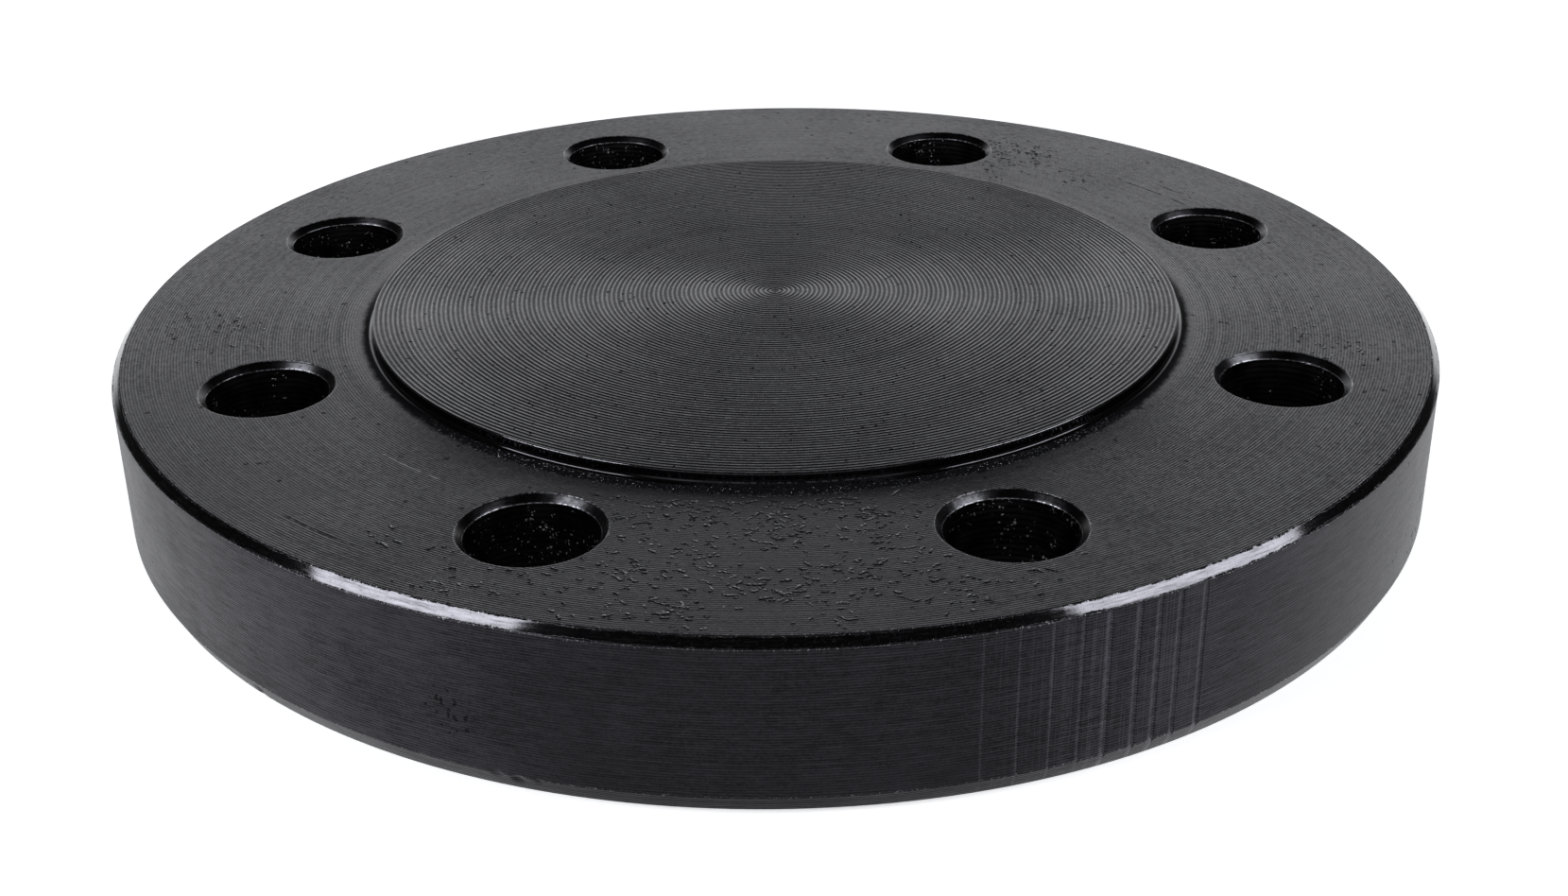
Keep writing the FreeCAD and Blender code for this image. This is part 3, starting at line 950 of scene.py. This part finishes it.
@material
def serrated_face(n, position, finish):
    """The gasket grooves: oxide, darker towards the bottom of each as painted shade, every groove a little
    unlike the next, with smudges, and worn crests that are lighter still in front, partly wear and partly a
    painted highlight."""
    place = disc_place(n, position, 45.0, 1900.0)
    depth, each = gasket_grooves(n, place["Radius"], groove_pitch(bpy.context.scene.flange_sizes))
    dashes = n.noise(place["Around"], 1.0, 4.0, 0.65)
    grain = n.noise(position, 2300.0, 3.0, 0.7)
    smudge = n.noise(position, 26.0, 4.0, 0.6) + n.spot(position, (39.0, -55.8, 33.3), 7.0, 0.12)
    tone = 0.5 * dashes + 0.4 * grain + 0.12 * each - 0.01
    # Darker and less metallic towards each groove's bottom: painted shade
    tone = tone * n.ramp(smudge, 0.3, 0.7, 0.8, 1.2) * (1.78 - 0.98 * depth)
    metal = n.ramp(tone, 0.0, 1.0, 0.25, 1.0) * (1.0 - specks(n, position, 1300.0, 0.06))
    rough = 0.15 * grain + (finish.seal_roughness - 0.06)
    ahead = n.ramp(abs(place["Turn"] + math.radians(90)), math.radians(25), math.radians(65), 3.0, 1.0)
    # Worn crests, three times as strong in front: partly wear, partly a painted highlight
    crest = n.ramp(depth, 0.0, 0.2, ahead, 0.0) * n.ramp(dashes, 0.5, 0.75, 0.12, 0.4)
    colour = n.mix(crest, n.shade(finish.oxide, tone), finish.bare_and_highlight)
    return colour, metal, rough, n.bump(grain + dashes, 0.012 * MM)


# Scratches round the ring face: radius in mm, first and last turn in degrees, width in mm
DARK_SCRATCHES = ((117.6, -132.6, -123.5, 0.45), (104.0, 30.0, 41.0, 0.35), (101.5, 44.0, 52.5, 0.3),
                  (108.0, 33.0, 37.5, 0.3))
BRIGHT_SCRATCH = (93.4, -136.0, -126.0, 0.3)
# Where pits gather on the ring face: the place and the reach in mm, and how densely
PITTED = (((54.0, 90.0, 31.0), 19.0, 1.0), ((107.0, -23.0, 31.0), 9.0, 0.7),
          ((-110.0, -14.0, 31.0), 9.0, 0.6))


def scratch_round(n, position, place, scratch):
    """One scratch of the lists above."""
    at, start, end, width = scratch
    return arc_scratch(n, position, place["Radius"], place["Turn"], at * MM, start, end, width * MM)


def dark_scratches(n, position, place, y):
    """The long scratches, and short ones, most of them in the half of the ring face that is behind."""
    streaks = n.noise(disc_place(n, position, 16.0, 1300.0)["Around"], 1.0, 3.0, 0.55)
    short = n.ramp(0.13 * n.ramp(y, -20 * MM, 70 * MM) + streaks, 0.8, 0.835)
    return n.most(short, *(scratch_round(n, position, place, each) for each in DARK_SCRATCHES))


def face_pits(n, position):
    """The ring face's pits, gathered in clusters, and a few alone."""
    places = [n.spot(position, *place) for place in PITTED]
    gather = n.most(*places, clusters(n, position, 30.0, 0.67))
    alone = specks(n, position, 850.0, 0.03, bend=1.6)
    return n.most(specks(n, position, 1000.0, 0.62, 1.25 * gather), alone)


def root_band(n, position, radius, y):
    """The ragged band round the root of the raised face, wider in front and fainter behind: its painted
    shade, and its bright grains in front, whose colour is a painted highlight.
    """
    ragged = (n.noise(position, 520.0, 4.0, 0.7) - 0.5) * n.ramp(y, -70 * MM, -30 * MM, 3.6 * MM, 1.4 * MM)
    ragged = ragged + radius + n.ramp(y, -75 * MM, -15 * MM, 1.8 * MM, 3.2 * MM)
    band = n.ramp(ragged, 83.2 * MM, 84.6 * MM, 1.0, 0.0)
    grains = n.ramp(n.noise(position, 2100.0, 2.0, 0.6), 0.6, 0.64)
    # glow: grains in front whose brighter colour is a painted highlight
    glow = band * grains * n.ramp(y, -62 * MM, -45 * MM, 1.0, 0.0)
    return band * n.ramp(y, -10 * MM, 40 * MM, 1.0, 0.25), glow


@material
def turned_face(n, position, finish):
    """The ring face: feed lines, calmer in front and on the left, torn flecks with a painted highlight on
    each crest and a painted shadow on the foot that faces the camera, pits in clusters, scratches, a band of
    painted shade round the root of the raised face whose grains in front carry painted highlights, and
    colour darker towards the front as painted shade and at a spot front-left."""
    place = disc_place(n, position, 80.0, 1500.0)
    radius, turn = place["Radius"], place["Turn"]
    lines, tone, grain = tool_lines(n, position, place["Around"], radius, 0.55 * MM, 0.5)
    _, y, _ = n.split(position)
    pits = face_pits(n, position)
    root, glow = root_band(n, position, radius, y)
    torn = n.attribute("torn")
    left = n.spot(position, (-92.0, -62.0, 31.0), 50.0)
    field = n.ramp(abs(turn + math.radians(89)), math.radians(8), math.radians(24), 0.35, 1.0)
    field = field * n.ramp(radius, 80 * MM, 85 * MM, 0.1, 1.0) * (1.0 - 0.35 * left)
    tone = tone + n.ramp(n.noise(position, 40.0, 5.0, 0.6), 0.3, 0.7, -0.06, 0.06)
    tone = (tone - 0.5) * field + 0.5
    cuts = n.most(pits, dark_scratches(n, position, place, y))
    # dark: pits and scratches, the painted shade of the root band and the painted shadow below each fleck
    dark = n.most(0.75 * cuts, root, n.ramp(torn, -0.05, -0.5))
    metal = n.most(n.ramp(tone, 0.15, 0.8, 0.45, 1.0) * (1.0 - 0.94 * dark), glow)
    glints = corner_wear(n, position, n.attribute("corner_gap"), 0.45 * MM)["Glints"]
    rub = scratch_round(n, position, place, BRIGHT_SCRATCH)
    # light: glints of wear, the bright scratch, and the painted highlights of the root band's grains and the
    # flecks' crests
    light = n.most(glints, 0.5 * rub, 0.9 * glow, n.ramp(torn, 0.05, 0.5))
    # Darker towards the front, a painted shade, and at a spot front-left
    shade = n.ramp(tone, 0.1, 0.9, 0.6, 1.75) * (n.ramp(y, -60 * MM, -5 * MM, 0.83, 1.0) - 0.16 * left)
    # The colour of the painted highlights on the flecks' crests and on the root band's grains
    bright = n.shade(finish.bare_and_highlight, n.ramp(torn, 0.2, 0.7, 1.0, 1.8) + glow)
    colour = n.mix(light, n.shade(finish.oxide, shade), bright)
    rough = (0.12 * grain + (finish.face_roughness - 0.06)) * n.ramp(radius, 80 * MM, 85 * MM, 0.6, 1.0)
    feed = n.bump(lines * field, 0.085 * MM)
    return colour, metal, rough, n.bump(0.12 * (2.1 * glow + grain) - pits, 0.16 * MM, feed)


def burnished(n, finish, position, around, width, worn_rough, uneven):
    """The look of a burnished corner: glossy, streaked along its length, chipped and speckled near its
    edges."""
    streaks = n.noise(around, 1.0, 5.0, 0.72)
    fine = n.noise(position, 2300.0, 4.0, 0.7)
    near, glints = corner_wear(n, position, n.attribute("corner_gap"), width)
    chips = near * n.ramp(n.noise(position, 1300.0, 3.0, 0.6), 0.4, 0.46)
    colour = n.mix(0.8 * glints, n.shade(finish.oxide, n.ramp(streaks, 0.3, 0.7, 0.75, 1.3)), finish.bare_and_highlight)
    metal = n.ramp(streaks, 0.3, 0.5, 0.8, 1.0) * n.ramp(fine, 0.3, 0.45, 0.75, 1.0) * (1.0 - 0.9 * chips)
    smooth = finish.edge_roughness
    rough = n.ramp(streaks, 0.35, 0.7, smooth - 0.02, smooth + 0.02) + near * worn_rough
    height = 0.1 * streaks + fine * (0.06 + 0.4 * near) + 0.6 * glints
    return colour, metal, rough, n.bump(height, uneven)


@material
def burnished_edge(n, position, finish):
    """The bevel of the rim and the side of the raised face, streaked round the disc. The raised face's side
    is darker than the rim's bevel, a painted shade. Its corner is lighter, partly rubbed bare and partly a
    painted highlight, less so in front, and its root is darker in front, a painted shade."""
    place = disc_place(n, position, 26.0, 4200.0)
    outer = n.ramp(place["Radius"], 90 * MM, 110 * MM)
    inner = 1.0 - outer
    width = n.ramp(outer, 0.0, 1.0, 0.10 * MM, 0.40 * MM)
    colour, metal, rough, normal = burnished(n, finish, position, place["Around"], width, 0.06, 0.03 * MM)
    ahead = n.ramp(abs(place["Turn"] + math.radians(87)), math.radians(5), math.radians(15), 1.0, 0.0)
    low = inner * n.ramp(place["Height"], 31.8 * MM, 32.2 * MM, 1.0, 0.0)
    # Painted shade in the root of the raised face, in front
    painted_root_shade = low * ahead * n.ramp(n.noise(position, 1500.0, 3.0, 0.65), 0.46, 0.54, 1.0, 0.1)
    # The raised face's corner lighter: rubbed bare steel and a painted highlight
    rubbed = inner * n.ramp(n.attribute("corner_gap"), 0.11 * MM, 0.23 * MM, 0.35, 0.0)
    rubbed = rubbed * n.ramp(n.noise(position, 1500.0, 3.0, 0.6) - 0.16 * ahead, 0.36, 0.44)
    # The raised face's side darker than the rim's bevel: painted shade
    colour = n.mix(rubbed, n.scaled(colour, n.ramp(outer, 0.0, 1.0, 0.55, 1.0)), finish.bare_and_highlight)
    return colour, metal * (1.0 - 0.95 * painted_root_shade), rough + 0.3 * painted_root_shade, normal


@material
def countersunk_mouth(n, position, finish):
    """The mouths of the bolt holes, streaked round each hole, darker on the side that lies further from the
    YZ plane as a painted shade that dims a highlight, with their lower corners lighter, partly rubbed bare
    and partly a painted highlight."""
    local = hole_place(n, position)
    around = disc_place(n, local, 2.8, 4200.0)["Around"]
    colour, metal, rough, normal = burnished(n, finish, position, around, 0.20 * MM, 0.04, 0.02 * MM)
    outwards = n.split(local)[0] * n.math("SIGN", n.split(position)[0])
    # Painted shade on each mouth's side away from the YZ plane
    painted_shade_outer_side = n.ramp(2 * MM * n.noise(position, 260.0, 3.0, 0.6) + outwards, -2 * MM, 6 * MM)
    # Lighter corners: rubbed bare steel and a painted highlight
    rubbed = n.ramp(n.noise(position, 1400.0, 3.0, 0.6), 0.45, 0.53, 0.08, 0.75)
    rubbed = rubbed * n.ramp(n.attribute("corner_gap"), 0.08 * MM, 0.26 * MM, 1.0, 0.0)
    mottled = n.ramp(n.noise(position, 800.0, 4.0, 0.65), 0.38, 0.58, 0.5, 1.05)
    colour = n.scaled(colour, (0.75 - 0.45 * painted_shade_outer_side) * mottled)
    return n.mix(rubbed, colour, finish.bare_and_highlight), 0.8 + 0.2 * metal, rough + 0.18, normal


def rim_pits(n, position, x):
    """The rim's pits, gathered at one place in front, in clusters, and more at both ends."""
    ends = n.ramp(abs(x), 98 * MM, 118 * MM) * clusters(n, position, 85.0, 0.47)
    front = n.spot(position, (-48.5, -117.4, 13.0), 8.5)
    gather = n.most(front, clusters(n, position, 26.0, 0.7), ends)
    return specks(n, n.vector("MULTIPLY", position, (1.0, 1.0, 0.7)), 1050.0, 0.55, gather, 1.8)


@material
def turned_rim(n, position, finish):
    """The rim: feed lines one above another, upright scuffs between the jaw marks whose flanks are rubbed
    lighter, soft blotches, pits in clusters, and colour darker towards +X as painted shade."""
    place = disc_place(n, position, 32.0, 1500.0)
    height, turn = place["Height"], place["Turn"]
    lines, tone, grain = tool_lines(n, position, place["Around"], height, 0.48 * MM, 0.25, 2100.0)
    x, _, _ = n.split(position)
    pits = rim_pits(n, position, x)
    begin = n.ramp(turn, math.radians(-77), math.radians(-74.5))
    cease = n.ramp(turn, math.radians(-60), math.radians(-57), 1.0, 0.0)
    upright = n.noise(n.join(420.0 * turn, 0.0, 30.0 * height), 1.0, 3.0, 0.6)
    scuffs = n.ramp(upright, 0.5, 0.7) * begin * cease
    rubbed = n.attribute("jaw_rub") * n.ramp(n.noise(position, 700.0, 3.0, 0.6), 0.3, 0.6, 0.6, 1.0)
    glints = corner_wear(n, position, n.attribute("corner_gap"), 0.30 * MM)["Glints"]
    tone = tone + n.ramp(n.noise(position, 60.0, 5.0, 0.62), 0.3, 0.7, -0.07, 0.07) + 0.28 * scuffs
    # Calmer lines and darker colour towards +X: the darkening is painted shade
    calm = n.ramp(x, 45 * MM, 95 * MM, 1.0, 0.4)
    tone = (tone - 0.5) * calm + 0.5
    shade = n.ramp(tone, 0.1, 0.9, 0.42, 1.6) * (1.0 + 2.4 * rubbed) * (0.8 + 0.2 * calm)
    metal = n.ramp(tone, 0.15, 0.75, 0.6, 1.0) * (1.0 - 0.8 * pits)
    rough = 0.12 * grain + (finish.rim_roughness - 0.06)
    feed = n.bump(lines * calm, 0.05 * MM)
    normal = n.bump(0.16 * (grain + scuffs) - 0.8 * pits, 0.08 * MM, feed)
    return n.mix(glints, n.shade(finish.rim_oxide, shade), finish.bare_and_highlight), metal, rough, normal


@material
def drilled_bore(n, position, finish):
    """The bolt holes' walls: near black, with the drill's rings and bright specks of swarf."""
    place = disc_place(n, position, 60.0)
    lines = tool_lines(n, position, place["Around"], place["Height"], 1.1 * MM, 0.4)["Lines"]
    swarf = specks(n, position, 1900.0, 0.42, n.ramp(n.noise(position, 120.0, 3.0, 0.6), 0.40, 0.55))
    bright = swarf * n.ramp(n.noise(position, 900.0), 0.36, 0.6)
    colour = n.mix(bright, n.shade(finish.oxide, 0.25 + 0.6 * lines), (0.9, 0.9, 0.92))
    rough = n.ramp(n.noise(position, 300.0, 3.0), 0.3, 0.7, 0.3, 0.45)
    return colour, 1.0, rough, n.bump(swarf, 0.2 * MM, n.bump(lines, 0.025 * MM))


@material
def turned_back(n, position, finish):
    """The back: turned as the ring face is, with wider feed lines, a little grime and scuffs from the
    bench."""
    place = disc_place(n, position, 60.0, 1100.0)
    lines, tone, grain = tool_lines(n, position, place["Around"], place["Radius"], 0.8 * MM, 0.3)
    pits = specks(n, position, 800.0, 0.45, clusters(n, position, 26.0, 0.55))
    stretched = n.vector("MULTIPLY", position, (1200.0, 60.0, 60.0))
    scuffs = n.ramp(n.noise(stretched, 1.0, 3.0, 0.6), 0.66, 0.72)
    glints = corner_wear(n, position, n.attribute("corner_gap"), 0.45 * MM)["Glints"]
    tone = tone + n.ramp(n.noise(position, 34.0, 5.0, 0.6), 0.3, 0.7, -0.12, 0.12)
    shaded = n.shade(finish.oxide, n.ramp(tone, 0.1, 0.9, 0.3, 2.4))
    metal = n.ramp(tone, 0.15, 0.8, 0.35, 1.0) * (1.0 - 0.85 * pits)
    rough = 0.12 * grain + (finish.face_roughness - 0.06)
    normal = n.bump(0.15 * grain - pits, 0.08 * MM, n.bump(lines, 0.035 * MM))
    return n.mix(n.most(glints, 0.3 * scuffs), shaded, finish.bare_and_highlight), metal, rough, normal


# The studio


def set_up(name, data, axes=np.eye(3), place=(0, 0, 0)):
    """An object of the studio, with its axes in columns."""
    made = bpy.data.objects.new(name, data)
    made.matrix_world = Matrix([[*row, p] for row, p in zip(axes, place)] + [[0, 0, 0, 1]])
    bpy.context.scene.collection.objects.link(made)
    return made


def softbox(name, side, azimuth, elevation, tilt, width, power):
    """A rectangular light, 0.9 m from the point of the rim's front at the turn side and facing it from that
    azimuth and elevation, turned about its own axis by tilt, all in degrees."""
    light = bpy.data.lights.new(name, "AREA")
    light.shape, light.size, light.size_y = "RECTANGLE", width, 0.25
    light.energy, light.color = power, (0.94, 0.96, 1.0)
    side, a, e, t = (math.radians(angle) for angle in (side, azimuth, elevation, tilt))
    away = np.array([math.cos(a) * math.cos(e), math.sin(a) * math.cos(e), math.sin(e)])
    level = np.array([-math.sin(a), math.cos(a), 0.0])
    up = np.cross(away, level)
    right, top = level * math.cos(t) + up * math.sin(t), up * math.cos(t) - level * math.sin(t)
    aim = np.array([RIM * math.cos(side), RIM * math.sin(side), TOP])
    set_up(name, light, np.column_stack([right, top, away]), aim + 0.9 * away)


def add_camera(studio):
    """The camera that the photo was taken with, as fitted to it."""
    camera = bpy.data.cameras.new("camera")
    camera.sensor_fit, camera.sensor_width, camera.lens = "HORIZONTAL", 36.0, studio.lens
    camera.clip_start, camera.clip_end = 0.01, 50.0
    yaw, pitch, roll = studio.yaw, studio.pitch, studio.roll
    ahead = np.array([math.sin(yaw) * math.cos(pitch), math.cos(yaw) * math.cos(pitch), -math.sin(pitch)])
    level = np.array([math.cos(yaw), -math.sin(yaw), 0.0])
    down = np.cross(ahead, level)
    right = math.cos(roll) * level + math.sin(roll) * down
    down = math.cos(roll) * down - math.sin(roll) * level
    axes = np.column_stack([right, -down, -ahead])
    bpy.context.scene.camera = set_up("camera", camera, axes, studio.eye)


def add_floor(colour):
    """A pale disc under the flange. It glows, more so further out, and is clear from below."""
    mesh = bpy.data.meshes.new("floor")
    mesh.from_pydata(revolve([(5.0, BACK)], evenly(64))[0], [], [list(range(64))])
    floor = set_up("floor", mesh)
    floor.visible_glossy = False
    made = bpy.data.materials.new("pale_floor")
    made.use_nodes = True
    n = Nodes(made.node_tree)
    away = n.vector("LENGTH", n.add("ShaderNodeTexCoord", out=3), out=1)
    card = {"Base Color": (*colour, 1.0), "Roughness": 0.9, "Specular IOR Level": 0.0,
            "Emission Color": (1.0, 1.0, 1.0, 1.0), "Emission Strength": n.ramp(away, 0.6, 2.0, 0.62, 0.97)}
    below = n.add("ShaderNodeNewGeometry", out=6)
    faces = {0: below, 1: n.add("ShaderNodeBsdfPrincipled", card), 2: n.add("ShaderNodeBsdfTransparent")}
    n.place("ShaderNodeOutputMaterial", {0: n.add("ShaderNodeMixShader", faces)})
    mesh.materials.append(made)
    floor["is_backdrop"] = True


def add_room():
    """The light of the room, by direction. Above the horizon there are a bright screen in front and one
    behind, both low, and elsewhere it is dark. Below the horizon it is brighter to the sides and behind
    than in front. The camera sees it almost white."""
    world = bpy.data.worlds.new("room")
    bpy.context.scene.world = world
    world.use_nodes = True
    n = Nodes(world.node_tree)
    x, y, z = n.split(n.add("ShaderNodeTexCoord"))
    screen = n.ramp(abs(x) / n.most(abs(y), 0.0001), 0.45, 0.85, 1.0, 0.0) * n.ramp(z, 0.31, 0.655, 1.0, 0.0)
    above = 0.028 + 1.4 * (screen * n.ramp(y, -0.05, 0.15, 0.7, 1.0))
    under = n.most(n.ramp(abs(x - 0.035), 0.44, 0.97, 0.225, 1.05), n.ramp(y, -0.2, 0.35, 0.25, 1.25))
    under = under * n.ramp(z, -1.0, -0.85, 0.5, 1.0)
    light = n.add("ShaderNodeMix", {0: n.ramp(z, -0.08, 0.04), 2: under, 3: above})
    light = n.add("ShaderNodeMix", {0: n.add("ShaderNodeLightPath"), 2: light, 3: 1.0})
    glow = n.add("ShaderNodeBackground", {"Color": (0.97, 0.98, 1.0, 1.0), "Strength": light})
    n.place("ShaderNodeOutputWorld", {0: glow})


class FLANGE_OT_stage(bpy.types.Operator):
    """Sets up the studio: camera, pale floor, two softboxes and the light of the room"""

    bl_idname = "flange.stage"
    bl_label = "Set up the studio"
    bl_options = {"REGISTER", "UNDO"}

    def execute(self, context):
        studio = context.scene.flange_studio
        context.scene.view_settings.view_transform = "Standard"
        add_camera(studio)
        add_floor(studio.floor)
        softbox("left_softbox", side=246.0, azimuth=197.0, elevation=44.0, tilt=33.0, width=0.50,
                power=studio.left_light)
        softbox("right_softbox", side=301.0, azimuth=352.0, elevation=40.5, tilt=-35.0, width=0.60,
                power=studio.right_light)
        add_room()
        return {"FINISHED"}


# The add-on


GROUPS = {"flange_sizes": FlangeSizes, "flange_wear": FlangeWear, "flange_finish": FlangeFinish,
          "flange_studio": FlangeStudio}
# The step whose button stands below each group of settings
STEPS = {"flange_wear": FLANGE_OT_flecks, "flange_finish": FLANGE_OT_disc, "flange_studio": FLANGE_OT_stage}


class FLANGE_PT_panel(bpy.types.Panel):
    """Lists the flange's settings and the steps that build it"""

    bl_label = "Blind flange"
    bl_idname = "FLANGE_PT_panel"
    bl_space_type = "VIEW_3D"
    bl_region_type = "UI"
    bl_category = "Flange"

    def draw(self, context):
        for group in GROUPS:
            settings = getattr(context.scene, group)
            box = self.layout.box()
            for name in settings.bl_rna.properties.keys():
                if name not in ("rna_type", "name"):
                    box.prop(settings, name)
            if group in STEPS:
                box.operator(STEPS[group].bl_idname)


CLASSES = (*GROUPS.values(), FLANGE_OT_disc, FLANGE_OT_flecks, FLANGE_OT_stage, FLANGE_PT_panel)


def register():
    for made in CLASSES:
        bpy.utils.register_class(made)
    for name, group in GROUPS.items():
        setattr(bpy.types.Scene, name, PointerProperty(type=group))


def unregister():
    for name in GROUPS:
        delattr(bpy.types.Scene, name)
    for made in reversed(CLASSES):
        bpy.utils.unregister_class(made)


def main():
    register()
    bpy.ops.flange.stage()
    bpy.ops.flange.disc()
    bpy.ops.flange.flecks()
    {"cad": CAD_BOX, "visual": [list(corner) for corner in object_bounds()]}


if __name__ == "__main__":
    main()
